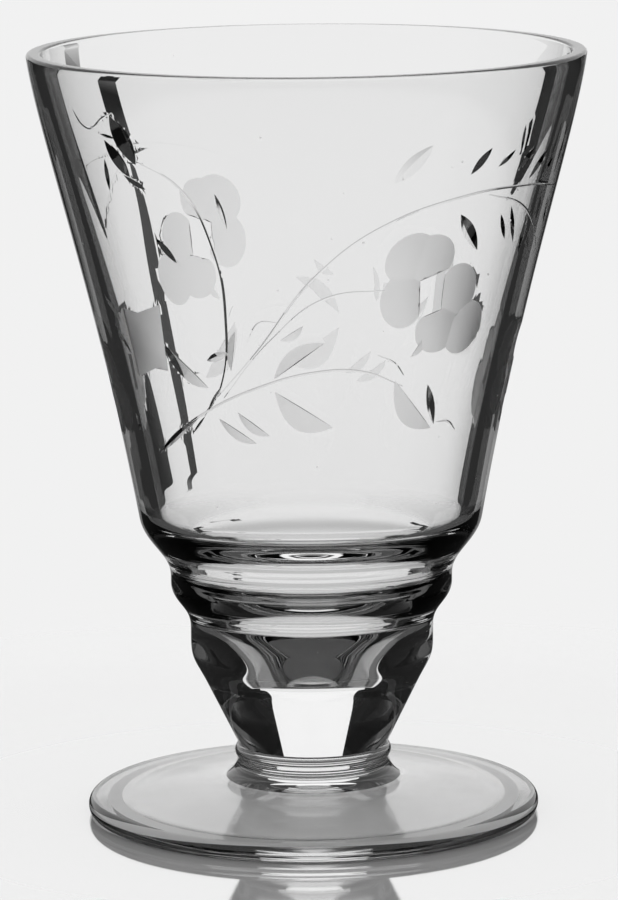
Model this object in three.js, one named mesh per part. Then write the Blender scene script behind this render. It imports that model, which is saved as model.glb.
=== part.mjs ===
// A small footed juice glass: a flared bowl on a tiered base, a solid stem, a collar and a disc foot
// All sizes are in millimetres. The glass stands on z = 0 with its axis along +Z
import * as THREE from 'three';

// Foot: a disc that rises to its middle, with a rounded edge, and a hollow underneath that follows its top
const FOOT_RADIUS = 28.7;
const FOOT_EDGE_HEIGHT = 2.4;
const FOOT_EDGE_ROUND = 1.15;
const FOOT_HEIGHT = 4.6;
const FOOT_RING_WIDTH = 3.4;
const FOOT_HOLLOW_DEPTH = 2.6;
const FOOT_HOLLOW_CROWN = 6;

// Collar: the wafer of glass that joins the stem to the foot, with a bead round its top
const COLLAR_HEIGHT = 4.3;
const COLLAR_BASE_RADIUS = 11.1;
const COLLAR_WAIST_RADIUS = 9.7;
const COLLAR_WAIST_DROP = 2;
const COLLAR_BEAD_RADIUS = 9.95;
const COLLAR_BEAD_DROP = 1;

// Stem: a short solid taper
const STEM_LENGTH = 8.1;
const STEM_NECK_RADIUS = 9.45;
const STEM_TOP_RADIUS = 13.45;

// Bowl outside, from the stem up: a lower tier, an upper tier, a shoulder and a flared cone
const LOWER_TURN_HEIGHT = 5.6;
const LOWER_TIER_RADIUS = 15.4;
const LOWER_TIER_HEIGHT = 1.5;
const LOWER_STEP_HEIGHT = 5.8;
const UPPER_TIER_RADIUS = 17.85;
const UPPER_TIER_HEIGHT = 0.9;
const SHOULDER_HEIGHT = 7.5;
const CONE_HEIGHT = 59;
const CONE_BASE_RADIUS = 21.7;
const CONE_BASE_LEAN = 10;
const RIM_RADIUS = 35;
const RIM_LEAN = 8.5;

// Bowl inside: it follows the outside, but each ledge lies higher than the tier that it belongs to, and the
// lowest one is a dish that slopes down to a flat-floored well over the stem
const RIM_WALL = 1.9;
const CONE_BASE_WALL = 2.7;
const SHOULDER_LEDGE_RISE = 1.7;
const SHOULDER_LEDGE_HEIGHT = 6;
const UPPER_TIER_WALL = 2.6;
const UPPER_LEDGE_RISE = 1.8;
const UPPER_LEDGE_HEIGHT = 5;
const LOWER_TIER_WALL = 4.55;
const DISH_RISE = 1.85;
const DISH_ROUND = 0.5;
const WELL_RADIUS = 7.8;
const WELL_DEPTH = 3.75;
const WELL_ROUND = 1.7;
const WELL_FLOOR_RADIUS = 5;
const WELL_FLOOR_ROUND = 0.3;
const WELL_FLOOR = 2.4;

// How finely the curves are cut
const ROUND_SEGMENTS = 60;
const WALL_STEPS = 6;
const BEND_STEPS = 5;
const LIP_STEPS = 6;

// Share of a stretch's height over which its end keeps its direction before it bends away
const EVEN_BEND = 0.5;
const TIGHT_BEND = 0.4;
const BROW_BEND = 0.19;

// Heights where the pieces and the tiers meet, stacked from the foot up
const collarBase = FOOT_HEIGHT;
const collarTop = collarBase + COLLAR_HEIGHT;
const stemTop = collarTop + STEM_LENGTH;
const lowerTierBase = stemTop + LOWER_TURN_HEIGHT;
const lowerTierTop = lowerTierBase + LOWER_TIER_HEIGHT;
const upperTierBase = lowerTierTop + LOWER_STEP_HEIGHT;
const upperTierTop = upperTierBase + UPPER_TIER_HEIGHT;
const coneBase = upperTierTop + SHOULDER_HEIGHT;
const rimTop = coneBase + CONE_HEIGHT;

// A point of a profile: its distance from the axis and its height
const at = (radius, height) => new THREE.Vector2(radius, height);
const slope = (leanDegrees) => Math.tan(THREE.MathUtils.degToRad(leanDegrees));

// A smooth step up from an upright wall to a wider one, which may lean outwards
function stepUp(low, high, lowBend, highBend, highLean = 0) {
  const height = high.y - low.y;
  const highReach = height * highBend;
  return new THREE.CubicBezierCurve(
    low,
    at(low.x, low.y + height * lowBend),
    at(high.x - slope(highLean) * highReach, high.y - highReach),
    high,
  ).getPoints(BEND_STEPS);
}

// A corner of a profile, rounded off from a set distance before it to the same distance after it
function roundedCorner(before, corner, after, distance) {
  const towards = (point) => point.clone().sub(corner).setLength(distance).add(corner);
  return new THREE.QuadraticBezierCurve(towards(before), corner, towards(after)).getPoints(BEND_STEPS);
}

// The flared wall of the cone, from its base to the lip
function flare(base, lip) {
  const reach = (lip.y - base.y) * EVEN_BEND;
  const brow = (lip.y - base.y) * BROW_BEND;
  return new THREE.CubicBezierCurve(
    base,
    at(base.x + slope(CONE_BASE_LEAN) * reach, base.y + reach),
    at(lip.x - slope(RIM_LEAN) * brow, lip.y - brow),
    lip,
  ).getPoints(WALL_STEPS);
}

// A round stretch of a profile, between two angles in degrees
function arc(centre, radius, from, to, steps) {
  const [start, end] = [from, to].map(THREE.MathUtils.degToRad);
  return new THREE.EllipseCurve(centre.x, centre.y, radius, radius, start, end).getPoints(steps);
}

// Joins stretches into one profile and drops the points that they share
function join(...stretches) {
  const points = stretches.flat();
  return points.filter((point, i) => i === 0 || point.distanceTo(points[i - 1]) > 1e-6);
}

// One named piece of clear glass, turned round the axis from a profile that starts and ends there
function glassPiece(name, points, colour) {
  const geometry = new THREE.LatheGeometry(points, ROUND_SEGMENTS).rotateX(Math.PI / 2);
  const material = new THREE.MeshStandardMaterial({ color: colour, roughness: 0.04, metalness: 0 });
  const piece = new THREE.Mesh(geometry, material);
  piece.name = name;
  return piece;
}

// The foot stands on a flat ring round its hollow, and its top slopes up to the collar's seat
function footProfile() {
  const edgeRadius = FOOT_RADIUS - FOOT_EDGE_ROUND;
  const ringRadius = edgeRadius - FOOT_RING_WIDTH;
  const hollow = new THREE.QuadraticBezierCurve(
    at(0, FOOT_HOLLOW_DEPTH),
    at(FOOT_HOLLOW_CROWN, FOOT_HOLLOW_DEPTH),
    at(ringRadius, 0),
  );
  return join(
    hollow.getPoints(BEND_STEPS),
    arc(at(edgeRadius, FOOT_EDGE_ROUND), FOOT_EDGE_ROUND, -90, 0, BEND_STEPS),
    arc(at(edgeRadius, FOOT_EDGE_HEIGHT - FOOT_EDGE_ROUND), FOOT_EDGE_ROUND, 0, 90, BEND_STEPS),
    at(COLLAR_BASE_RADIUS, collarBase),
    at(0, collarBase),
  );
}

// The collar sweeps in from the foot to a waist, swells to its bead and closes on the stem's neck
function collarProfile() {
  const base = at(COLLAR_BASE_RADIUS, collarBase);
  const waist = at(COLLAR_WAIST_RADIUS, collarTop - COLLAR_WAIST_DROP);
  const bead = at(COLLAR_BEAD_RADIUS, collarTop - COLLAR_BEAD_DROP);
  const neck = at(STEM_NECK_RADIUS, collarTop);
  const sweep = new THREE.QuadraticBezierCurve(base, at(waist.x, (base.y + waist.y) / 2), waist);
  const beadTop = new THREE.QuadraticBezierCurve(bead, at(bead.x, (bead.y + neck.y) / 2), neck);
  return join(
    at(0, collarBase),
    sweep.getPoints(BEND_STEPS),
    stepUp(waist, bead, EVEN_BEND, EVEN_BEND),
    beadTop.getPoints(BEND_STEPS),
    at(0, collarTop),
  );
}

function stemProfile() {
  return [
    at(0, collarTop),
    at(STEM_NECK_RADIUS, collarTop),
    at(STEM_TOP_RADIUS, stemTop),
    at(0, stemTop),
  ];
}

// The outside of the bowl, from the seat on the stem up to the lip
function bowlOutside(lipHeight) {
  const taper = (STEM_TOP_RADIUS - STEM_NECK_RADIUS) / STEM_LENGTH;
  const seat = at(STEM_TOP_RADIUS, stemTop);
  const turnReach = LOWER_TURN_HEIGHT * EVEN_BEND;
  const lowerTurn = new THREE.CubicBezierCurve(
    seat,
    at(seat.x + taper * turnReach, stemTop + turnReach),
    at(LOWER_TIER_RADIUS, lowerTierBase - turnReach),
    at(LOWER_TIER_RADIUS, lowerTierBase),
  );
  const lowerTop = at(LOWER_TIER_RADIUS, lowerTierTop);
  const upperTop = at(UPPER_TIER_RADIUS, upperTierTop);
  const coneFoot = at(CONE_BASE_RADIUS, coneBase);
  return join(
    lowerTurn.getPoints(BEND_STEPS),
    stepUp(lowerTop, at(UPPER_TIER_RADIUS, upperTierBase), EVEN_BEND, TIGHT_BEND),
    stepUp(upperTop, coneFoot, TIGHT_BEND, TIGHT_BEND, CONE_BASE_LEAN),
    flare(coneFoot, at(RIM_RADIUS, lipHeight)),
  );
}

// The inside of the bowl, from the floor of the well up to the lip
function bowlInside(lipHeight) {
  const coneFootHeight = coneBase + SHOULDER_LEDGE_RISE;
  const coneFootRadius = CONE_BASE_RADIUS - CONE_BASE_WALL + slope(CONE_BASE_LEAN) * SHOULDER_LEDGE_RISE;
  const coneFoot = at(coneFootRadius, coneFootHeight);
  const upperTop = at(UPPER_TIER_RADIUS - UPPER_TIER_WALL, upperTierTop + UPPER_LEDGE_RISE);
  const shoulderFoot = at(upperTop.x, coneFootHeight - SHOULDER_LEDGE_HEIGHT);
  const upperFoot = at(LOWER_TIER_RADIUS - LOWER_TIER_WALL, upperTop.y - UPPER_LEDGE_HEIGHT);
  const dishBrim = at(upperFoot.x, lowerTierTop + DISH_RISE);
  const floorHeight = stemTop + WELL_FLOOR;
  const wellMiddle = at(0, floorHeight);
  const wellCorner = at(WELL_FLOOR_RADIUS, floorHeight);
  const wellBrim = at(WELL_RADIUS, floorHeight + WELL_DEPTH);
  return join(
    wellMiddle,
    roundedCorner(wellMiddle, wellCorner, wellBrim, WELL_FLOOR_ROUND),
    roundedCorner(wellCorner, wellBrim, dishBrim, WELL_ROUND),
    roundedCorner(wellBrim, dishBrim, upperFoot, DISH_ROUND),
    stepUp(upperFoot, upperTop, EVEN_BEND, EVEN_BEND),
    stepUp(shoulderFoot, coneFoot, EVEN_BEND, EVEN_BEND, CONE_BASE_LEAN),
    flare(coneFoot, at(RIM_RADIUS - RIM_WALL, lipHeight)),
  );
}

// The bowl is one shell: up the outside, over the round lip and down the inside
function bowlProfile() {
  const lipRound = RIM_WALL / 2;
  const lipHeight = rimTop - lipRound;
  return join(
    at(0, stemTop),
    bowlOutside(lipHeight),
    arc(at(RIM_RADIUS - lipRound, lipHeight), lipRound, 0, 180, LIP_STEPS),
    bowlInside(lipHeight).reverse(),
  );
}

const juiceGlass = new THREE.Group();
juiceGlass.add(
  glassPiece('foot', footProfile(), 0xe6ebea),
  glassPiece('collar', collarProfile(), 0xdfe6e5),
  glassPiece('stem', stemProfile(), 0xe3e9e8),
  glassPiece('bowl', bowlProfile(), 0xe9eeed),
);

export default juiceGlass;
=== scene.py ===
import math

import bpy
from mathutils import Matrix, Vector


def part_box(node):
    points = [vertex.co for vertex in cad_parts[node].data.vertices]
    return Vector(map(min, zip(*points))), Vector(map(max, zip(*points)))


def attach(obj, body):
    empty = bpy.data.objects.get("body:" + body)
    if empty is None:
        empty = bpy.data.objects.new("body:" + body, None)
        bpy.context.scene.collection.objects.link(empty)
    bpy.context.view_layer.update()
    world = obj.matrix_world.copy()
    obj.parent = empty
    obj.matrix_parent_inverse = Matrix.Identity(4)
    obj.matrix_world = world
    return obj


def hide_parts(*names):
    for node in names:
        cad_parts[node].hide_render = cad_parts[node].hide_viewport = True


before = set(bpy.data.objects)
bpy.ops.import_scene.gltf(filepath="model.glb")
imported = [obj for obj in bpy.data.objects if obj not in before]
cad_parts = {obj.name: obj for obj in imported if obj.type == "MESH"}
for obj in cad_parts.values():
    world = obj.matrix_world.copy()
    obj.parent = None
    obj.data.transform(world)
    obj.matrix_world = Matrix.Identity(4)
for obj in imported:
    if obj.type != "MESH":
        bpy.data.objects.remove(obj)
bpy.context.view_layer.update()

# Camera: a long lens above the rim, near enough to see the foot more from above than the rim.
# It leans by under a degree. Sizes in pixels are those of a picture 618 wide and 900 high.
IMAGE_LONG_SIDE = 900
FOCAL_LENGTH_PIXELS = 5237
SENSOR_WIDTH_MM = 36
CAMERA_PLACE = Vector((0.0, -0.6521, 0.1612))
CAMERA_TARGET = Vector((-0.00016, 0.0, 0.04655))
CAMERA_LEAN = math.radians(0.55)

bpy.ops.object.select_all(action="DESELECT")
bpy.ops.object.camera_add(location=CAMERA_PLACE)
camera = bpy.context.object
camera.name = "camera"
aim = (CAMERA_TARGET - CAMERA_PLACE).to_track_quat("-Z", "Y")
camera.rotation_euler = (aim.to_matrix() @ Matrix.Rotation(-CAMERA_LEAN, 3, "Z")).to_euler()
camera.data.sensor_width = SENSOR_WIDTH_MM
camera.data.lens = FOCAL_LENGTH_PIXELS * SENSOR_WIDTH_MM / IMAGE_LONG_SIDE
scene = bpy.context.scene
scene.camera = camera
scene.view_settings.view_transform = "Standard"

# Studio: an even white surround lights the floor. The glass sees white panels among dark ones instead:
# the panel behind it shows through it, and the dark on either side of that panel draws its edges.
# Angles are degrees: across from the middle of the panel behind the glass, and up from the horizon.
BACKGROUND = 0.88
LOWER_PANEL = 0.87
UPPER_PANEL = 0.98
DARK = 0.008
DOME = 1.03
GLASS_SHADE = 0.1
PANEL_LEFT = 13.4
PANEL_LEFT_SPREAD = 6.6
PANEL_LEFT_SPREADS = (-14.2, -12.2)
PANEL_RIGHT = 10.2
PANEL_RIGHT_SPREAD = 11.8
PANEL_RIGHT_SPREADS = (-13.6, -11.0)
PANEL_MIDDLE_REACH = 20.0
PANEL_MIDDLE = (-7.5, -4.5)
PANEL_HIGH_REACH = 17.5
PANEL_BRIGHTENS = (15.0, 20.0)
TWO_WALLS_LOSS = 0.36
TWO_WALLS_FROM = (-9.0, 10.0)
PANEL_TOP = 45.0
THROWN_PANEL_LOSS = 0.65
THROWN_PANEL_TOP = -4.0
CARD_GAP = -5.8
CARD_GAP_SWAY = 3.0
CARD_GAP_SWAYS = (-12.0, -9.6)
CARD_GAP_HALF_WIDTH = 0.25
CARD_GAP_WIDENS = 0.35
CARD_GAP_WIDE_FROM = -8.9
CARD_GAP_LOW_WIDENS = 0.2
CARD_GAP_TOP = -6.0
CARD_GAP_FADES = (-15.0, -11.0)
LOW_DARK = 0.025
LOW_DARK_TOP = -8.0
FRONT_ROOM = 0.1
FRONT_ROOM_FROM = 100.0
OVERHEAD_FROM = 50.0
THROWN_OVERHEAD = 0.12
TOP_LIGHT_FROM = 66.0
THROWN_TOP_LIGHT = 0.6
HORIZON = (-1.0, 1.0)
TABLE_EDGE = -18.5
MIRRORED_TABLE_EDGE = -24.0
SIDE_PANEL_HALF_WIDTH = 9.0
TALL_SIDE_PANELS = (-90.0, 135.0)
LOW_SIDE_PANEL = -45.0
LOW_SIDE_PANEL_TOP = -12.0
EDGE_BLUR = 2.0
AT_LEAST_ONE = 0.5
AT_LEAST_TWO = 1.5
AT_LEAST_THREE = 2.5
BOUNCES = 24

world = bpy.data.worlds.new("studio")
scene.world = world
world.use_nodes = True
world.cycles.sampling_method = "NONE"
world.node_tree.nodes.clear()


def math_maker(tree):
    """Gives a function that adds one Math node to this tree, fed with numbers or other nodes' outputs."""

    def add(operation, *values):
        node = tree.nodes.new("ShaderNodeMath")
        node.operation = operation
        for socket, value in zip(node.inputs, values):
            if isinstance(value, (int, float)):
                socket.default_value = value
            else:
                tree.links.new(value, socket)
        return node.outputs[0]

    return add


def soft_edge(tree, value, start, end):
    """0 below start, 1 above end, and a smooth ramp between."""
    node = tree.nodes.new("ShaderNodeMapRange")
    node.interpolation_type = "SMOOTHSTEP"
    tree.links.new(value, node.inputs["Value"])
    node.inputs["From Min"].default_value = start
    node.inputs["From Max"].default_value = end
    return node.outputs["Result"]


sky = world.node_tree
sky_math = math_maker(sky)
direction = sky.nodes.new("ShaderNodeTexCoord")
parts = sky.nodes.new("ShaderNodeSeparateXYZ")
sky.links.new(direction.outputs["Generated"], parts.inputs[0])
azimuth = sky_math("DEGREES", sky_math("ARCTAN2", parts.outputs["X"], parts.outputs["Y"]))
elevation = sky_math("DEGREES", sky_math("ARCSINE", parts.outputs["Z"]))
path = sky.nodes.new("ShaderNodeLightPath").outputs


def opposite(share):
    """1 where share is 0, and 0 where it is 1."""
    return sky_math("SUBTRACT", 1.0, share)


def below(edge):
    """1 under this height in degrees, 0 above it, with a soft edge."""
    return opposite(soft_edge(sky, elevation, edge - EDGE_BLUR, edge + EDGE_BLUR))


def panel(turn, half_width):
    """1 within half_width degrees of an upright panel's middle."""
    off = sky_math("ABSOLUTE", sky_math("SUBTRACT", azimuth, turn))
    return sky_math("LESS_THAN", off, half_width)


# Light that goes straight through the glass, is thrown about inside it, or never enters it
straight = sky_math("LESS_THAN", path["Glossy Depth"], AT_LEAST_ONE)
thrown_about = opposite(straight)
mirrored = sky_math("LESS_THAN", path["Transmission Depth"], AT_LEAST_ONE)

# The panel behind the glass, whose lower part is dim for light that was thrown about
widening = soft_edge(sky, elevation, *PANEL_BRIGHTENS)


def panel_edge(reach, spread, spreads):
    """How far one side of the panel reaches, in degrees: further near the table and high up."""
    low = opposite(soft_edge(sky, elevation, *spreads))
    edge = sky_math("MULTIPLY_ADD", low, spread, reach)
    middle = soft_edge(sky, elevation, *PANEL_MIDDLE)
    edge = sky_math("MULTIPLY_ADD", middle, PANEL_MIDDLE_REACH - reach, edge)
    return sky_math("MULTIPLY_ADD", widening, PANEL_HIGH_REACH - PANEL_MIDDLE_REACH, edge)


left_edge = panel_edge(PANEL_LEFT, PANEL_LEFT_SPREAD, PANEL_LEFT_SPREADS)
right_edge = panel_edge(PANEL_RIGHT, PANEL_RIGHT_SPREAD, PANEL_RIGHT_SPREADS)
left_of = sky_math("LESS_THAN", azimuth, right_edge)
right_of = sky_math("GREATER_THAN", azimuth, sky_math("MULTIPLY", left_edge, -1.0))
white = sky_math("MULTIPLY", left_of, right_of)
thrown_low = sky_math("MULTIPLY", thrown_about, below(THROWN_PANEL_TOP))
white = sky_math("MULTIPLY", white, sky_math("MULTIPLY_ADD", thrown_low, -THROWN_PANEL_LOSS, 1.0))

# Panels to either side, which only straight light reaches
for turn in TALL_SIDE_PANELS:
    side = sky_math("MULTIPLY", straight, panel(turn, left_edge))
    white = sky_math("MAXIMUM", white, side)
white = sky_math("MULTIPLY", white, below(PANEL_TOP))
low_side = sky_math("MULTIPLY", panel(LOW_SIDE_PANEL, SIDE_PANEL_HALF_WIDTH), below(LOW_SIDE_PANEL_TOP))
white = sky_math("MAXIMUM", white, sky_math("MULTIPLY", straight, low_side))

# Light from above, and the white table all round
overhead_light = sky_math("MULTIPLY_ADD", straight, 1.0 - THROWN_OVERHEAD, THROWN_OVERHEAD)
overhead = sky_math("MULTIPLY", opposite(below(OVERHEAD_FROM)), overhead_light)
white = sky_math("MAXIMUM", white, overhead)
top_light = sky_math("MULTIPLY", THROWN_TOP_LIGHT, opposite(below(TOP_LIGHT_FROM)))
white = sky_math("MAXIMUM", white, top_light)
white = sky_math("MAXIMUM", white, sky_math("MULTIPLY", straight, below(TABLE_EDGE)))

# A narrow dark gap between two cards of the panel
sway = opposite(soft_edge(sky, elevation, *CARD_GAP_SWAYS))
gap_middle = sky_math("MULTIPLY_ADD", sway, -CARD_GAP_SWAY, CARD_GAP)
gap_width = sky_math("MULTIPLY_ADD", sway, CARD_GAP_LOW_WIDENS, CARD_GAP_HALF_WIDTH)
gap_top = sky_math("GREATER_THAN", elevation, CARD_GAP_WIDE_FROM)
gap_width = sky_math("MULTIPLY_ADD", gap_top, CARD_GAP_WIDENS, gap_width)
gap = sky_math("MULTIPLY", straight, panel(gap_middle, gap_width))
gap = sky_math("MULTIPLY", gap, below(CARD_GAP_TOP))
gap = sky_math("MULTIPLY", gap, soft_edge(sky, elevation, *CARD_GAP_FADES))
white = sky_math("MULTIPLY", white, opposite(gap))
white = sky_math("MAXIMUM", white, sky_math("MULTIPLY", mirrored, below(MIRRORED_TABLE_EDGE)))

# The panel's own light, weaker after both walls of the bowl, and what little light the dark gives
panel_light = sky_math("MULTIPLY_ADD", widening, UPPER_PANEL - LOWER_PANEL, LOWER_PANEL)
two_walls = sky_math("GREATER_THAN", path["Transmission Depth"], AT_LEAST_THREE)
two_walls = sky_math("MULTIPLY", two_walls, soft_edge(sky, elevation, *TWO_WALLS_FROM))
panel_light = sky_math("MULTIPLY", panel_light, sky_math("MULTIPLY_ADD", two_walls, -TWO_WALLS_LOSS, 1.0))
glass_light = sky_math("MULTIPLY", panel_light, white)
dark = sky_math("MULTIPLY_ADD", below(LOW_DARK_TOP), LOW_DARK - DARK, DARK)
in_front = sky_math("GREATER_THAN", sky_math("ABSOLUTE", azimuth), FRONT_ROOM_FROM)
room = sky_math("MULTIPLY", FRONT_ROOM, sky_math("MULTIPLY", in_front, thrown_about))
glass_light = sky_math("MAXIMUM", glass_light, sky_math("MAXIMUM", dark, room))

# What the floor's gloss mirrors above the horizon is the plain surround
mirrored_once = sky_math("MULTIPLY", mirrored, sky_math("LESS_THAN", path["Glossy Depth"], AT_LEAST_TWO))
in_mirror = sky_math("MULTIPLY", mirrored_once, soft_edge(sky, elevation, *HORIZON))
glass_light = sky_math("MAXIMUM", glass_light, sky_math("MULTIPLY", BACKGROUND, in_mirror))

# The floor is lit by the even surround
in_glass = sky_math("MAXIMUM", path["Is Glossy Ray"], path["Is Transmission Ray"])
after_floor = sky_math("GREATER_THAN", path["Diffuse Depth"], AT_LEAST_ONE)
dome_light = sky_math("MULTIPLY_ADD", in_glass, -GLASS_SHADE, DOME)
glass_sees = sky_math("MULTIPLY", in_glass, opposite(after_floor))


def blend(first, second, share):
    """First where share is 0, second where it is 1."""
    return sky_math("MULTIPLY_ADD", sky_math("SUBTRACT", second, first), share, first)


level = blend(blend(dome_light, glass_light, glass_sees), BACKGROUND, path["Is Camera Ray"])
background = sky.nodes.new("ShaderNodeBackground")
background.inputs["Color"].default_value = (1, 1, 1, 1)
sky.links.new(level, background.inputs["Strength"])
sky_out = sky.nodes.new("ShaderNodeOutputWorld")
sky.links.new(background.outputs[0], sky_out.inputs[0])
scene.cycles.max_bounces = BOUNCES
scene.cycles.transmission_bounces = BOUNCES
scene.cycles.transparent_max_bounces = BOUNCES

# Floor: a white glossy board that shows a short mirror image in front of the foot and fades out further off.
# Its colour and gloss carry painted shade: where the light reaching the board was thrown about inside the
# glass, the board is painted dark, standing in for the glass shading what is near it.
MM = 0.001
FLOOR_RADIUS = 140 * MM
FLOOR_STEPS = 96
FLOOR_DROP = 0.03 * MM
FLOOR_COLOUR = 0.88
GLOSS_FROM = 27.5 * MM
GLOSS_FADE = (45 * MM, 100 * MM)
BOARD_FADE = (80 * MM, 135 * MM)
GLOSS_SHARE = 0.75
GLOSS_ROUGHNESS = 0.05
SHADE_PAINTED_THROUGH_GLASS = 0.82
DARK_MIDDLE = 13 * MM
FOOT_REACH = 33 * MM
THROWN_LOSS = 0.9
MIDDLE_LOSS = 0.8
MIRRORED_LOSS = 0.98
LIGHT_UNDER_FOOT = 0.1

bpy.ops.object.select_all(action="DESELECT")
bpy.ops.mesh.primitive_circle_add(
    vertices=FLOOR_STEPS, radius=FLOOR_RADIUS, fill_type="NGON", location=(0, 0, -FLOOR_DROP)
)
floor = bpy.context.object
floor.name = "floor"
white_board = bpy.data.materials.new("white_board")
white_board.use_nodes = True
board = white_board.node_tree
board.nodes.remove(board.nodes["Principled BSDF"])
board_math = math_maker(board)
board_path = board.nodes.new("ShaderNodeLightPath").outputs
board_place = board.nodes.new("ShaderNodeTexCoord")
from_middle = board.nodes.new("ShaderNodeVectorMath")
from_middle.operation = "LENGTH"
board.links.new(board_place.outputs["Object"], from_middle.inputs[0])
off_axis = from_middle.outputs["Value"]
# Painted shade: masks for where the board's colour is darkened, by how the light reached it and how far it
# lies from the axis
seen_first = board_math("LESS_THAN", board_path["Diffuse Depth"], AT_LEAST_ONE)
thrown = board_math("GREATER_THAN", board_path["Glossy Depth"], AT_LEAST_ONE)
thrown = board_math("MULTIPLY", seen_first, thrown)
far_in = board_math("GREATER_THAN", board_path["Transmission Depth"], AT_LEAST_THREE)
under_foot = board_math(
    "MULTIPLY",
    board_math("GREATER_THAN", off_axis, DARK_MIDDLE),
    board_math("LESS_THAN", off_axis, FOOT_REACH),
)
inside_glass = board_math("GREATER_THAN", board_path["Transmission Depth"], AT_LEAST_ONE)
in_middle = board_math("LESS_THAN", off_axis, DARK_MIDDLE)
glass_loss = board_math("MULTIPLY_ADD", in_middle, MIDDLE_LOSS - THROWN_LOSS, THROWN_LOSS)
loss_change = board_math("SUBTRACT", glass_loss, MIRRORED_LOSS)
loss = board_math("MULTIPLY_ADD", inside_glass, loss_change, MIRRORED_LOSS)
# Under the foot, seen through much glass, most of the painted shade is lifted again as painted light
lit = board_math("MULTIPLY", far_in, under_foot)
loss = board_math("MULTIPLY_ADD", lit, LIGHT_UNDER_FOOT - THROWN_LOSS, loss)
# The painted shade darkens the board's colour and its gloss
painted_shade = board_math("SUBTRACT", 1.0, board_math("MULTIPLY", thrown, loss))
# Seen through more than two faces of glass, the board is painted darker still: painted shade
shade_painted_behind_glass = board_math("MULTIPLY_ADD", far_in, SHADE_PAINTED_THROUGH_GLASS - 1.0, 1.0)
painted_shade = board_math("MULTIPLY", painted_shade, shade_painted_behind_glass)
paint = board.nodes.new("ShaderNodeBsdfDiffuse")
board.links.new(board_math("MULTIPLY", FLOOR_COLOUR, painted_shade), paint.inputs["Color"])
gloss = board.nodes.new("ShaderNodeBsdfGlossy")
gloss.inputs["Color"].default_value = (1, 1, 1, 1)
gloss.inputs["Roughness"].default_value = GLOSS_ROUGHNESS
gloss_share = board_math("SUBTRACT", 1.0, soft_edge(board, off_axis, *GLOSS_FADE))
gloss_share = board_math("MULTIPLY", gloss_share, board_math("GREATER_THAN", off_axis, GLOSS_FROM))
gloss_share = board_math("MULTIPLY", board_math("MULTIPLY", gloss_share, GLOSS_SHARE), painted_shade)
coat = board.nodes.new("ShaderNodeMixShader")
board.links.new(gloss_share, coat.inputs["Fac"])
board.links.new(paint.outputs[0], coat.inputs[1])
board.links.new(gloss.outputs[0], coat.inputs[2])
gone = board.nodes.new("ShaderNodeBsdfTransparent")
fade = board.nodes.new("ShaderNodeMixShader")
board.links.new(soft_edge(board, off_axis, *BOARD_FADE), fade.inputs["Fac"])
board.links.new(coat.outputs[0], fade.inputs[1])
board.links.new(gone.outputs[0], fade.inputs[2])
board.links.new(fade.outputs[0], board.nodes["Material Output"].inputs["Surface"])
floor.data.materials.append(white_board)

# Bowl: blown clear glass with a fire-polished lip, a rounded shoulder and two tiers under it.
# The wall thickens downwards. Inside, each ledge lies a little above its tier,
# over a dish and a small deep well that ends just above the stem.
bowl_low, bowl_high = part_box("bowl")
STEM_TOP = bowl_low.z
RIM_TOP = bowl_high.z
RIM_RADIUS = bowl_high.x
STEM_NECK_RADIUS = 9.45 * MM
STEM_TOP_RADIUS = 13.45 * MM
STEM_LENGTH = 8.1 * MM
LOWER_TIER_RADIUS = 15.4 * MM
LOWER_TIER_BASE = STEM_TOP + 5.6 * MM
LOWER_TIER_TOP = LOWER_TIER_BASE + 1.5 * MM
UPPER_TIER_RADIUS = 17.85 * MM
UPPER_TIER_BASE = LOWER_TIER_TOP + 5.8 * MM
UPPER_TIER_TOP = UPPER_TIER_BASE + 0.9 * MM
CONE_BASE = UPPER_TIER_TOP + 7.5 * MM
CONE_BASE_RADIUS = 21.7 * MM
CONE_BASE_SLOPE = math.tan(math.radians(10))
RIM_SLOPE = math.tan(math.radians(8.5))
RIM_WALL = 1.9 * MM
LIP_ROUND = 0.45 * MM
CONE_BASE_WALL = 2.7 * MM
SHOULDER_LEDGE_TOP = CONE_BASE + 1.7 * MM
SHOULDER_LEDGE_HEIGHT = 6.0 * MM
UPPER_TIER_WALL = 2.6 * MM
UPPER_LEDGE_TOP = UPPER_TIER_TOP + 1.8 * MM
UPPER_LEDGE_HEIGHT = 5.0 * MM
LOWER_TIER_WALL = 4.55 * MM
WELL_FLOOR = STEM_TOP + 2.4 * MM
WELL_FLOOR_RADIUS = 5.0 * MM
WELL_FLOOR_ROUND = 0.3 * MM
WELL_RADIUS = 7.8 * MM
WELL_BRIM = WELL_FLOOR + 3.75 * MM
WELL_BRIM_ROUND = 1.7 * MM
DISH_BRIM = LOWER_TIER_TOP + 1.85 * MM
DISH_BRIM_ROUND = 0.5 * MM
EVEN_BEND = 0.5
TIGHT_BEND = 0.4
BROW_BEND = 0.19
TURN_POINTS = 14
STEP_POINTS = 20
CORNER_POINTS = 10
CONE_POINTS = 48
LIP_POINTS = 16
ROUND_STEPS = 240
SMOOTH_ANGLE = math.radians(12)
WELD = 0.001 * MM
SAME_PLACE = 0.00001 * MM


def curve(points, steps):
    """Points along a Bezier curve of any degree, ends included."""
    line = []
    for i in range(steps + 1):
        t = i / steps
        level_points = [Vector(p) for p in points]
        while len(level_points) > 1:
            level_points = [a.lerp(b, t) for a, b in zip(level_points, level_points[1:])]
        line.append(level_points[0])
    return line


def step_up(low, high, low_bend, high_bend, high_slope=0.0):
    """A smooth step up from an upright wall to a wider one, which may lean outwards."""
    rise = high[1] - low[1]
    reach = rise * high_bend
    bends = [(low[0], low[1] + rise * low_bend), (high[0] - high_slope * reach, high[1] - reach)]
    return curve([low, *bends, high], STEP_POINTS)


def rounded(before, corner, after, size):
    """A corner between two straight stretches, rounded off from size before it to size after it."""
    corner = Vector(corner)
    start = corner + (Vector(before) - corner).normalized() * size
    end = corner + (Vector(after) - corner).normalized() * size
    return curve([start, corner, end], CORNER_POINTS)


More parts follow.
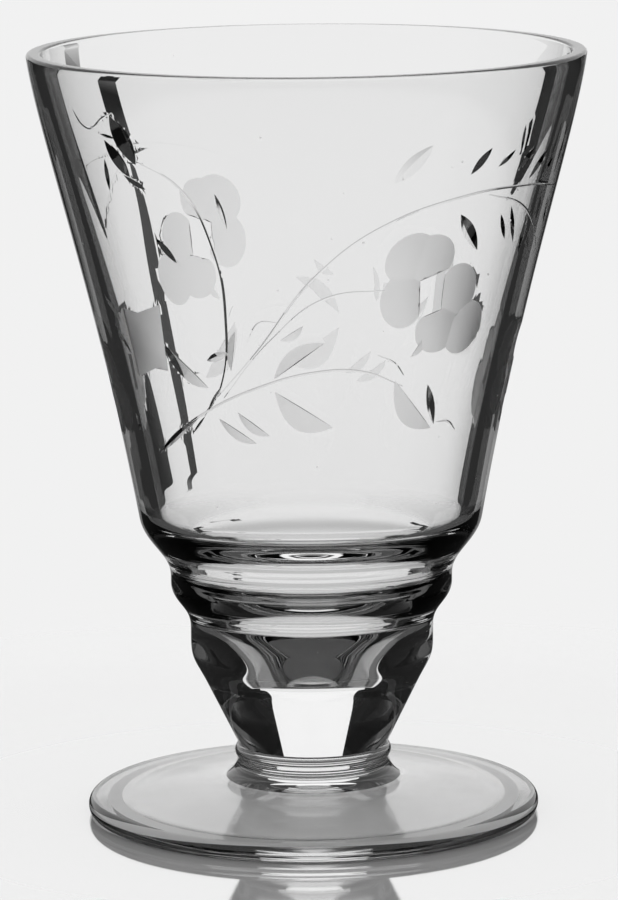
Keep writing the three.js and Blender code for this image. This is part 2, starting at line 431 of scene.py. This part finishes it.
def flare(base, lip):
    """The flared wall of the cone, from its base to the lip."""
    rise = lip[1] - base[1]
    first = (base[0] + CONE_BASE_SLOPE * rise * EVEN_BEND, base[1] + rise * EVEN_BEND)
    second = (lip[0] - RIM_SLOPE * rise * BROW_BEND, lip[1] - rise * BROW_BEND)
    return curve([base, first, second, lip], CONE_POINTS)


def arc(centre, radius, start, end, steps):
    """A round stretch between two angles in degrees."""
    angles = [math.radians(start + (end - start) * i / steps) for i in range(steps + 1)]
    return [Vector((centre[0] + radius * math.cos(a), centre[1] + radius * math.sin(a))) for a in angles]


def turned(name, *stretches, steps=ROUND_STEPS):
    """Draws an outline from the axis round to the axis again, edge by edge, and spins it once round."""
    outline = [Vector(p) for stretch in stretches for p in stretch]
    outline = [p for i, p in enumerate(outline) if i == 0 or (p - outline[i - 1]).length > SAME_PLACE]
    bpy.ops.object.select_all(action="DESELECT")
    bpy.ops.mesh.primitive_plane_add(size=MM, location=(0, 0, 0))
    piece = bpy.context.object
    piece.name = piece.data.name = name
    bpy.ops.object.mode_set(mode="EDIT")
    bpy.ops.mesh.merge(type="CENTER")
    bpy.ops.transform.translate(value=(outline[0].x, 0, outline[0].y))
    for here, there in zip(outline, outline[1:]):
        move = (there.x - here.x, 0, there.y - here.y)
        bpy.ops.mesh.extrude_region_move(TRANSFORM_OT_translate={"value": move})
    bpy.ops.mesh.select_all(action="SELECT")
    bpy.ops.mesh.spin(steps=steps, angle=2 * math.pi, center=(0, 0, 0), axis=(0, 0, 1))
    bpy.ops.mesh.select_all(action="SELECT")
    bpy.ops.mesh.remove_doubles(threshold=WELD)
    bpy.ops.mesh.normals_make_consistent(inside=False)
    bpy.ops.object.mode_set(mode="OBJECT")
    bpy.ops.object.shade_smooth_by_angle(angle=SMOOTH_ANGLE)
    return piece


lip_height = RIM_TOP - LIP_ROUND
taper = (STEM_TOP_RADIUS - STEM_NECK_RADIUS) / STEM_LENGTH
turn_reach = (LOWER_TIER_BASE - STEM_TOP) * EVEN_BEND
cone_foot = (CONE_BASE_RADIUS, CONE_BASE)
cone_wall = flare(cone_foot, (RIM_RADIUS, lip_height))
outside = [
    curve([
        (STEM_TOP_RADIUS, STEM_TOP),
        (STEM_TOP_RADIUS + taper * turn_reach, STEM_TOP + turn_reach),
        (LOWER_TIER_RADIUS, LOWER_TIER_BASE - turn_reach),
        (LOWER_TIER_RADIUS, LOWER_TIER_BASE),
    ], TURN_POINTS),
    step_up((LOWER_TIER_RADIUS, LOWER_TIER_TOP), (UPPER_TIER_RADIUS, UPPER_TIER_BASE), EVEN_BEND, TIGHT_BEND),
    step_up((UPPER_TIER_RADIUS, UPPER_TIER_TOP), cone_foot, TIGHT_BEND, TIGHT_BEND, CONE_BASE_SLOPE),
    cone_wall,
]
lip = arc((RIM_RADIUS - LIP_ROUND, lip_height), LIP_ROUND, 0, 90, LIP_POINTS)
lip += arc((RIM_RADIUS - RIM_WALL + LIP_ROUND, lip_height), LIP_ROUND, 90, 180, LIP_POINTS)
upper_ledge = (UPPER_TIER_RADIUS - UPPER_TIER_WALL, UPPER_LEDGE_TOP)
upper_ledge_foot = (LOWER_TIER_RADIUS - LOWER_TIER_WALL, UPPER_LEDGE_TOP - UPPER_LEDGE_HEIGHT)
shoulder_ledge_reach = CONE_BASE_RADIUS - CONE_BASE_WALL + CONE_BASE_SLOPE * (SHOULDER_LEDGE_TOP - CONE_BASE)
shoulder_ledge = (shoulder_ledge_reach, SHOULDER_LEDGE_TOP)
shoulder_ledge_foot = (upper_ledge[0], SHOULDER_LEDGE_TOP - SHOULDER_LEDGE_HEIGHT)
well_middle = (0, WELL_FLOOR)
well_corner = (WELL_FLOOR_RADIUS, WELL_FLOOR)
well_brim = (WELL_RADIUS, WELL_BRIM)
dish_brim = (upper_ledge_foot[0], DISH_BRIM)
inside = [
    [well_middle],
    rounded(well_middle, well_corner, well_brim, WELL_FLOOR_ROUND),
    rounded(well_corner, well_brim, dish_brim, WELL_BRIM_ROUND),
    rounded(well_brim, dish_brim, upper_ledge_foot, DISH_BRIM_ROUND),
    step_up(upper_ledge_foot, upper_ledge, EVEN_BEND, EVEN_BEND),
    step_up(shoulder_ledge_foot, shoulder_ledge, EVEN_BEND, EVEN_BEND, CONE_BASE_SLOPE),
    flare(shoulder_ledge, (RIM_RADIUS - RIM_WALL, lip_height)),
]
inside_down = [p for stretch in inside for p in stretch][::-1]
bowl = turned("bowl_glass", [(0, STEM_TOP)], *outside, lip, inside_down)

# Its glass is clear, with faint upright waves from the blowing, a few seeds and specks in it,
# and a trace of haze from handling. Where two pieces are fused, light passes as if there were no face.
WAVE_SCALE = 55.0
WAVE_STRETCH = 0.2
WAVE_DETAIL = 1
WAVE_DEPTH = 0.02 * MM
SPECK_SCALE = 190.0
SPECK_SIZE = 0.035
SPECK_ROUGHNESS = 0.5
HAZE_SCALE = 30.0
HAZE_PATCHES = (0.5, 0.75)
HAZE_ROUGHNESS = 0.012
GLASS_IOR = 1.52
SEAM_FLATNESS = 0.999


def texture(tree, kind, scale, stretch=(1, 1, 1)):
    """A texture node on the piece's own coordinates, stretched along its axes."""
    place = tree.nodes.new("ShaderNodeTexCoord")
    mapping = tree.nodes.new("ShaderNodeMapping")
    mapping.inputs["Scale"].default_value = stretch
    tree.links.new(place.outputs["Object"], mapping.inputs["Vector"])
    node = tree.nodes.new(kind)
    node.inputs["Scale"].default_value = scale
    tree.links.new(mapping.outputs["Vector"], node.inputs["Vector"])
    return node


def glass_finish(name):
    """A clear glass finish. Its nodes add what the surface shows on top."""
    finish = bpy.data.materials.new(name)
    finish.use_nodes = True
    shader = finish.node_tree.nodes["Principled BSDF"]
    shader.inputs["Base Color"].default_value = (1, 1, 1, 1)
    shader.inputs["Transmission Weight"].default_value = 1
    shader.inputs["Roughness"].default_value = 0
    shader.inputs["IOR"].default_value = GLASS_IOR
    return finish, shader


def raised(finish, shader, pattern, depth):
    """Raises the surface by this depth where the pattern is light."""
    bump = finish.node_tree.nodes.new("ShaderNodeBump")
    bump.inputs["Distance"].default_value = depth
    finish.node_tree.links.new(pattern.outputs["Fac"], bump.inputs["Height"])
    finish.node_tree.links.new(bump.outputs["Normal"], shader.inputs["Normal"])


def roughened(finish, shader, pattern, least, variation):
    """Roughness that rises from least by up to variation where the pattern is light."""
    add = math_maker(finish.node_tree)
    rough = add("MULTIPLY_ADD", pattern.outputs["Fac"], variation, least)
    finish.node_tree.links.new(rough, shader.inputs["Roughness"])


clear_glass, shader = glass_finish("clear_glass")
glass = clear_glass.node_tree
glass_math = math_maker(glass)
waves = texture(glass, "ShaderNodeTexNoise", WAVE_SCALE, (1, 1, WAVE_STRETCH))
waves.inputs["Detail"].default_value = WAVE_DETAIL
raised(clear_glass, shader, waves, WAVE_DEPTH)
seeds = texture(glass, "ShaderNodeTexVoronoi", SPECK_SCALE)
seed = glass_math("LESS_THAN", seeds.outputs["Distance"], SPECK_SIZE)
haze = texture(glass, "ShaderNodeTexNoise", HAZE_SCALE)
hazy = soft_edge(glass, haze.outputs["Fac"], *HAZE_PATCHES)
haze_level = glass_math("MULTIPLY", hazy, HAZE_ROUGHNESS)
glass.links.new(glass_math("MULTIPLY_ADD", seed, SPECK_ROUGHNESS, haze_level), shader.inputs["Roughness"])

fused_seam = bpy.data.materials.new("fused_seam")
fused_seam.use_nodes = True
seam_nodes = fused_seam.node_tree.nodes
seam_nodes.remove(seam_nodes["Principled BSDF"])
see_through = seam_nodes.new("ShaderNodeBsdfTransparent")
fused_seam.node_tree.links.new(see_through.outputs[0], seam_nodes["Material Output"].inputs["Surface"])


def glaze(piece, *seam_heights):
    """Clear glass all over, and no finish where the piece is fused to its neighbour at these heights."""
    piece.data.materials.append(clear_glass)
    piece.data.materials.append(fused_seam)
    for face in piece.data.polygons:
        flat = abs(face.normal.z) > SEAM_FLATNESS
        face.material_index = int(flat and any(abs(face.center.z - z) < WELD for z in seam_heights))


glaze(bowl, STEM_TOP)
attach(bowl, "root")
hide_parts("bowl")

# Stem: a short solid taper of clear glass, a gather stuck hot to the underside of the bowl.
# It is drawn down to a neck, and its flat ends are fused to the bowl and the collar.
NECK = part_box("stem")[0].z
STEM_POINTS = 12
stem = turned(
    "stem_glass",
    [(0, NECK)],
    curve([(STEM_NECK_RADIUS, NECK), (STEM_TOP_RADIUS, STEM_TOP)], STEM_POINTS),
    [(0, STEM_TOP)],
)
glaze(stem, NECK, STEM_TOP)
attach(stem, "root")
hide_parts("stem")

# Collar: a small wafer of clear glass, dropped hot on to the neck of the stem.
# It is pinched to a bead round its top and sweeps out below to meet the foot.
collar_low, collar_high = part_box("collar")
COLLAR_BASE_RADIUS = collar_high.x
COLLAR_BASE = collar_low.z
WAIST_RADIUS = 9.7 * MM
WAIST_DROP = 2 * MM
BEAD_RADIUS = 9.95 * MM
BEAD_DROP = 1 * MM
SWEEP_POINTS = 14
BEAD_POINTS = 12
waist = (WAIST_RADIUS, NECK - WAIST_DROP)
waist_bend = (WAIST_RADIUS, (COLLAR_BASE + waist[1]) / 2)
bead = (BEAD_RADIUS, NECK - BEAD_DROP)
bead_bend = (BEAD_RADIUS, (bead[1] + NECK) / 2)
collar = turned(
    "collar_glass",
    [(0, COLLAR_BASE)],
    curve([(COLLAR_BASE_RADIUS, COLLAR_BASE), waist_bend, waist], SWEEP_POINTS),
    step_up(waist, bead, EVEN_BEND, EVEN_BEND),
    curve([bead, bead_bend, (STEM_NECK_RADIUS, NECK)], BEAD_POINTS),
    [(0, NECK)],
)
glaze(collar, COLLAR_BASE, NECK)
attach(collar, "root")
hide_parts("collar")

# Foot: a disc of clear glass with a rounded edge, dropped hot on to the collar and flattened with boards.
# It stands on a flat ring, worn dull by use, round a hollow that follows the slope of its top.
FOOT_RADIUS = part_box("foot")[1].x
FOOT_EDGE_ROUND = 1.15 * MM
FOOT_EDGE_HEIGHT = 2.4 * MM
FOOT_RING_WIDTH = 3.4 * MM
FOOT_HOLLOW_DEPTH = 2.6 * MM
FOOT_HOLLOW_CROWN = 6.0 * MM
FLAT_EDGE = 0.1 * MM
WORN_RING_WIDTH = 1.8 * MM
BOARD_MARK_SCALE = 45.0
BOARD_MARK_DEPTH = 0.12 * MM
BOARD_ROUGHNESS = 0.02
BOARD_ROUGHNESS_VARIATION = 0.12
WEAR_SCALE = 400.0
WEAR_ROUGHNESS = 0.4
WEAR_VARIATION = 0.2
WEAR_WHITE = 0.78
WEAR_SHARE = 0.65
HOLLOW_POINTS = 24
EDGE_POINTS = 12
SLOPE_POINTS = 20
FACING_UP = 0.9
FACING_DOWN = -0.99
WORKED = 2
WORN = 3
edge_radius = FOOT_RADIUS - FOOT_EDGE_ROUND
ring_radius = edge_radius - FOOT_RING_WIDTH
worn_radius = ring_radius + WORN_RING_WIDTH
foot = turned(
    "foot_glass",
    curve([(0, FOOT_HOLLOW_DEPTH), (FOOT_HOLLOW_CROWN, FOOT_HOLLOW_DEPTH), (ring_radius, 0)], HOLLOW_POINTS),
    [(ring_radius + FLAT_EDGE, 0), (worn_radius, 0), (edge_radius - FLAT_EDGE, 0)],
    arc((edge_radius, FOOT_EDGE_ROUND), FOOT_EDGE_ROUND, -90, 0, EDGE_POINTS),
    arc((edge_radius, FOOT_EDGE_HEIGHT - FOOT_EDGE_ROUND), FOOT_EDGE_ROUND, 0, 90, EDGE_POINTS),
    curve([(edge_radius, FOOT_EDGE_HEIGHT), (COLLAR_BASE_RADIUS, COLLAR_BASE)], SLOPE_POINTS),
    [(0, COLLAR_BASE)],
)
glaze(foot, COLLAR_BASE)
worked_glass, shader = glass_finish("worked_glass")
tool_marks = texture(worked_glass.node_tree, "ShaderNodeTexNoise", BOARD_MARK_SCALE)
raised(worked_glass, shader, tool_marks, BOARD_MARK_DEPTH)
roughened(worked_glass, shader, tool_marks, BOARD_ROUGHNESS, BOARD_ROUGHNESS_VARIATION)
foot.data.materials.append(worked_glass)

worn_glass, shader = glass_finish("worn_glass")
wear = texture(worn_glass.node_tree, "ShaderNodeTexNoise", WEAR_SCALE)
roughened(worn_glass, shader, wear, WEAR_ROUGHNESS, WEAR_VARIATION)
shader.inputs["Base Color"].default_value = (WEAR_WHITE, WEAR_WHITE, WEAR_WHITE, 1)
shader.inputs["Transmission Weight"].default_value = 1 - WEAR_SHARE
foot.data.materials.append(worn_glass)
for face in foot.data.polygons:
    reach = math.hypot(face.center.x, face.center.y)
    if face.normal.z > FACING_UP and COLLAR_BASE_RADIUS < reach < edge_radius:
        face.material_index = WORKED
    if face.normal.z < FACING_DOWN and ring_radius < reach < worn_radius:
        face.material_index = WORN
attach(foot, "root")
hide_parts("foot")

# Cut spray: flowers, leaves and stems cut cold into the outside of the bowl with small stone wheels.
# Petals and broad leaves keep the satin of the wheel. Stems and narrow leaves are sharp polished grooves.
# The spray is cut again on the far side, more lightly and without its narrow leaves.
PATTERN_RADIUS = 28.5 * MM
FRONT_TURN = 0.0
BACK_TURN = 180.0
FULL_DEPTH = 1.0
LIGHT_DEPTH = 0.22
STEM_WIDTH = 0.34 * MM
STEM_DEPTH = 0.085 * MM
STEM_TIP = 0.4
STEM_CURVE_STEPS = 10
PETAL_RADIUS = 3.05 * MM
PETAL_BREADTH = 1.15
PETAL_STOP = 2.2 * MM
PETAL_DEPTH = 0.2 * MM
WHEEL_MARGIN = 1.5
WHEEL_POINTS = 14
WHEEL_STEPS = 48
LEAF_SIDES = 4
LEAF_POINTS = 10
SATIN_ROUGHNESS = 0.46
SATIN_VARIATION = 0.06
GRIND_SCALE = 1500.0
GRIND_STRETCH = 0.25
GRIND_DEPTH = 0.004 * MM
POLISHED = 0
SATIN = 2
SHEET_ACROSS = Vector((1, 0, 0))
SHEET_UP = Vector((0, 1, 0))
SPRAY_OUTSIDE = Vector((0, 0, 1))

satin_glass, shader = glass_finish("satin_glass")
grinding = texture(satin_glass.node_tree, "ShaderNodeTexNoise", GRIND_SCALE, (1, 1, GRIND_STRETCH))
raised(satin_glass, shader, grinding, GRIND_DEPTH)
roughened(satin_glass, shader, grinding, SATIN_ROUGHNESS, SATIN_VARIATION)
bowl.data.materials.append(satin_glass)

# Where each cut lies: degrees round the bowl from the front, then millimetres above the table
STEMS = {
    "low": [(-50, 49.5), (-33, 54.5), (-15, 58.5), (2, 60.7), (14, 60.6), (26, 58.4)],
    "long": [(-30, 55.4), (-14, 63), (2, 73), (17, 78.8), (36, 81.8), (56, 82.2), (76, 81)],
    "flower": [(-24, 57.2), (-10, 64.6), (4, 70), (20, 70.8)],
    "arched": [(-40, 86.8), (-29, 83.6), (-22.4, 76), (-21.2, 67.5), (-24.6, 58.6), (-31, 54.6)],
    "branch": [(44, 81.7), (56, 80), (66, 76.8), (74, 73)],
    "left_curl": [(-8, 67), (-12.5, 66.9), (-16, 64.5)],
    "right_curl": [(18, 62.6), (23, 61.4), (26, 59.8)],
    "bud_curl": [(39, 53.3), (43.5, 53.1), (47, 51.9)],
    "cluster_curl": [(-56.5, 92), (-54, 90.4), (-51, 90.1), (-47, 91.4), (-43.5, 92.3)],
}
FLOWERS = [
    [(24.8, 74.5), (29.6, 74.3), (39.3, 69.9), (43.6, 65.1), (35.0, 65.4), (23.7, 69.3)],
    [(80, 60.2), (87, 60.4), (95, 57.5), (99, 53), (90, 51.8), (81, 54.8)],
]
# The broad bract has a straight edge on each side, from a flat wheel
BRACT = [(-55, 67.3), (-49, 67), (-40.4, 68.4), (-41.6, 60), (-46, 60.1), (-54.5, 58.6)]
BRACT_DEPTH = 0.12 * MM
BRACT_BLOCK_DEPTHS = 3
BRACT_CUTS = 12
# Each leaf: tip, end, width and depth in millimetres
POLISHED_LEAVES = [
    ((34, 58.3), (38, 53), 1.3, 0.35),
    ((-28, 61.8), (-21.5, 63), 1.1, 0.45),
    ((-37.5, 77), (-32.5, 74), 0.9, 0.4),
    ((-20.5, 83), (-18.5, 78.6), 0.7, 0.35),
    ((36.5, 79.6), (43.5, 74.8), 1.7, 0.6),
    ((37.5, 84.5), (42.5, 87.6), 1.0, 0.45),
    ((49.5, 79), (53, 75.6), 0.7, 0.35),
    ((-41.5, 63.6), (-36, 59.3), 1.1, 0.45),
    ((53.4, 86.1), (54.2, 90.8), 0.5, 0.35),
    ((52.3, 86.3), (52, 90), 0.5, 0.3),
    ((45.4, 85.1), (50.2, 87), 0.8, 0.18),
    ((52.8, 84.3), (57.5, 87), 0.9, 0.25),
    ((57.9, 82.9), (64.2, 86.3), 1.0, 0.28),
    ((64, 82.3), (69, 85), 0.9, 0.28),
    ((52.9, 79.8), (57.1, 75), 0.8, 0.3),
    ((61, 78), (60.9, 73.5), 0.9, 0.28),
    ((73.8, 79.5), (74.6, 76.3), 0.9, 0.28),
    ((-44.4, 92), (-39.3, 86), 2.4, 0.8),
    ((-47.4, 88.8), (-41.6, 84.3), 1.7, 0.6),
    ((-48.4, 89.5), (-44, 89.1), 0.4, 0.3),
    ((-48.6, 86.4), (-49.2, 82.4), 0.7, 0.4),
    ((-43.5, 84.6), (-37.8, 83), 0.8, 0.35),
    ((-51.5, 48.9), (-33, 54.4), 0.9, 0.35),
    ((-29.9, 55.2), (-24.6, 58.6), 0.5, 0.25),
    ((-36, 52.2), (-30.9, 54.6), 0.35, 0.2),
    ((-64, 68.6), (-57.5, 65.4), 0.7, 0.25),
    ((-61.5, 65), (-55.6, 61.4), 0.7, 0.25),
    ((-61, 53.6), (-59.9, 51.2), 0.7, 0.25),
    ((73, 82.6), (75.4, 88.8), 0.6, 0.2),
    ((18.5, 84), (27, 88.6), 1.9, 0.3),
]
# Half leaves keep one side of the leaf, so that they have one straight edge and one belly
SATIN_LEAVES = [
    ((-9.5, 58.2), (6.5, 53.6), 5.6, 0.32),
    ((-26.5, 54.5), (-15.5, 51.5), 2.3, 0.25),
    ((-20.5, 55.4), (-11.5, 52.5), 2.3, 0.25),
    ((23.5, 59.2), (37, 52.6), 5.4, 0.3),
    ((-39, 62.6), (-28.5, 58.3), 3.2, 0.3),
    ((4, 64.4), (-9.5, 59.8), 3.4, 0.25),
    ((-7.5, 64.7), (-1.5, 66.6), 1.8, 0.25),
    ((27.5, 62), (31.5, 64.8), 1.8, 0.12),
    ((-19, 65.8), (-21.2, 60.6), 1.8, 0.25),
]


def on_sheet(angle, height):
    """A place on the flat pattern sheet: across and up in metres, at the glass's surface."""
    return Vector((math.radians(angle) * PATTERN_RADIUS, height * MM, 0))


def wall_at(height):
    """The radius of the cone's outside at this height, and how far it leans there."""
    for low, high in zip(cone_wall, cone_wall[1:]):
        if height <= high.y:
            break
    share = (height - low.y) / (high.y - low.y)
    return low.lerp(high, share).x, math.atan2(high.x - low.x, high.y - low.y)


def finished(cutter, material):
    """Marks the finish that a cutter leaves on the glass."""
    for finish in bowl.data.materials:
        cutter.data.materials.append(finish)
    for face in cutter.data.polygons:
        face.material_index = material
    return cutter


def lay(cutter, across, out, along, centre):
    """Sets a cutter's own axes on the pattern sheet, with its place in its mesh."""
    columns = Matrix((across, out, along)).transposed().to_4x4()
    cutter.matrix_world = Matrix.Translation(centre) @ columns
    bpy.ops.object.select_all(action="DESELECT")
    cutter.select_set(True)
    bpy.context.view_layer.objects.active = cutter
    bpy.ops.object.transform_apply(location=True, rotation=True, scale=True)


def stem_cutter(points):
    """A square rod along the stem, with one edge down into the glass."""
    bpy.ops.object.select_all(action="DESELECT")
    bpy.ops.curve.primitive_bezier_curve_add(location=(0, 0, 0))
    rod = bpy.context.object
    spline = rod.data.splines[0]
    spline.bezier_points.add(len(points) - 2)
    for knot, point in zip(spline.bezier_points, points):
        knot.co = on_sheet(*point)
        knot.handle_left_type = "AUTO"
        knot.handle_right_type = "AUTO"
        knot.radius = 1.0
    spline.bezier_points[0].radius = STEM_TIP
    spline.bezier_points[-1].radius = STEM_TIP
    rod.data.twist_mode = "Z_UP"
    rod.data.bevel_depth = STEM_WIDTH / 2
    rod.data.bevel_resolution = 0
    rod.data.use_fill_caps = True
    rod.data.resolution_u = STEM_CURVE_STEPS
    bpy.ops.object.convert(target="MESH")
    rod = bpy.context.object
    bpy.ops.object.mode_set(mode="EDIT")
    bpy.ops.mesh.select_all(action="SELECT")
    bpy.ops.mesh.remove_doubles(threshold=WELD)
    bpy.ops.mesh.normals_make_consistent(inside=False)
    bpy.ops.object.mode_set(mode="OBJECT")
    lay(rod, SHEET_ACROSS, SHEET_UP, SPRAY_OUTSIDE * 2 * STEM_DEPTH / STEM_WIDTH, Vector())
    return finished(rod, POLISHED)


def petal_cutter(centre, flower):
    """The round edge of a wheel, stopped along a straight line on the side of the flower's middle."""
    ball = (PETAL_RADIUS ** 2 + PETAL_DEPTH ** 2) / (2 * PETAL_DEPTH)
    reach = math.degrees(math.asin(PETAL_RADIUS / ball)) * WHEEL_MARGIN
    bottom = arc((0, ball - PETAL_DEPTH), ball, -90, -90 + reach, WHEEL_POINTS)
    wheel = turned("petal", bottom, [(0, bottom[-1].y)], steps=WHEEL_STEPS)
    bpy.ops.object.mode_set(mode="EDIT")
    bpy.ops.mesh.select_all(action="SELECT")
    bpy.ops.mesh.bisect(plane_co=(-PETAL_STOP, 0, 0), plane_no=(1, 0, 0), use_fill=True, clear_inner=True)
    bpy.ops.object.mode_set(mode="OBJECT")
    middle = sum((on_sheet(*petal) for petal in flower), Vector()) / len(flower)
    outwards = (on_sheet(*centre) - middle).normalized()
    sideways = SPRAY_OUTSIDE.cross(outwards)
    lay(wheel, outwards, sideways * PETAL_BREADTH, SPRAY_OUTSIDE, on_sheet(*centre))
    return finished(wheel, SATIN)


def bract_cutter(corners):
    """A flat block with these corners, sunk a little into the glass."""
    bpy.ops.object.select_all(action="DESELECT")
    bpy.ops.mesh.primitive_circle_add(vertices=len(corners), radius=MM, fill_type="NGON", location=(0, 0, 0))
    block = bpy.context.object
    for vertex, corner in zip(block.data.vertices, corners):
        vertex.co = on_sheet(*corner) - SPRAY_OUTSIDE * BRACT_DEPTH
    bpy.ops.object.mode_set(mode="EDIT")
    bpy.ops.mesh.select_all(action="SELECT")
    rise = SPRAY_OUTSIDE * BRACT_BLOCK_DEPTHS * BRACT_DEPTH
    bpy.ops.mesh.extrude_region_move(TRANSFORM_OT_translate={"value": rise})
    bpy.ops.mesh.select_all(action="SELECT")
    bpy.ops.mesh.subdivide(number_cuts=BRACT_CUTS)
    bpy.ops.mesh.quads_convert_to_tris()
    bpy.ops.mesh.normals_make_consistent(inside=False)
    bpy.ops.object.mode_set(mode="OBJECT")
    return finished(block, SATIN)


def leaf_cutter(tip, end, width, depth, half=False):
    """A long four-sided spindle with one edge down into the glass. Half of it leaves one straight edge."""
    shares = [i / LEAF_POINTS for i in range(-LEAF_POINTS, LEAF_POINTS + 1)]
    bow = [((1 - share * share) / 2, share / 2) for share in shares]
    spindle = turned("leaf", bow, steps=LEAF_SIDES)
    if half:
        bpy.ops.object.mode_set(mode="EDIT")
        bpy.ops.mesh.select_all(action="SELECT")
        bpy.ops.mesh.bisect(plane_co=(0, 0, 0), plane_no=(1, 0, 0), use_fill=True, clear_outer=True)
        bpy.ops.object.mode_set(mode="OBJECT")
    start = on_sheet(*tip)
    along = on_sheet(*end) - start
    across = SPRAY_OUTSIDE.cross(along).normalized() * width * MM
    lay(spindle, across, SPRAY_OUTSIDE * 2 * depth * MM, along, start + along / 2)
    return finished(spindle, SATIN if half else POLISHED)


def combine(target, cutter, operation):
    """Joins a cutter to the others, or cuts it out of the bowl."""
    modifier = target.modifiers.new("cut", "BOOLEAN")
    modifier.operation = operation
    modifier.solver = "MANIFOLD"
    modifier.object = cutter
    bpy.ops.object.select_all(action="DESELECT")
    target.select_set(True)
    bpy.context.view_layer.objects.active = target
    bpy.ops.object.modifier_apply(modifier=modifier.name)
    bpy.data.objects.remove(cutter)


def wrap(pattern, turn, depth):
    """Wraps the flat pattern round the bowl, turned about its axis, and sets how deep its cuts go."""
    for vertex in pattern.data.vertices:
        across, height, lift = vertex.co
        radius, lean = wall_at(height)
        if lift < 0:
            lift *= depth
        radius += lift * math.cos(lean)
        angle = across / PATTERN_RADIUS + math.radians(turn)
        drop = lift * math.sin(lean)
        vertex.co = (radius * math.sin(angle), -radius * math.cos(angle), height - drop)


def cut_into_bowl(turn, depth):
    """Cuts a copy of the spray into the bowl."""
    tool = spray.copy()
    tool.data = spray.data.copy()
    scene.collection.objects.link(tool)
    wrap(tool, turn, depth)
    combine(bowl, tool, "DIFFERENCE")


cutters = [petal_cutter(centre, flower) for flower in FLOWERS for centre in flower]
cutters += [bract_cutter(BRACT)]
cutters += [leaf_cutter(*leaf, half=True) for leaf in SATIN_LEAVES]
cutters += [stem_cutter(points) for points in STEMS.values()]
spray = cutters[0]
for cutter in cutters[1:]:
    combine(spray, cutter, "UNION")
cut_into_bowl(BACK_TURN, LIGHT_DEPTH)
for leaf in POLISHED_LEAVES:
    combine(spray, leaf_cutter(*leaf), "UNION")
cut_into_bowl(FRONT_TURN, FULL_DEPTH)
bpy.data.objects.remove(spray)
bpy.ops.object.shade_smooth_by_angle(angle=SMOOTH_ANGLE)
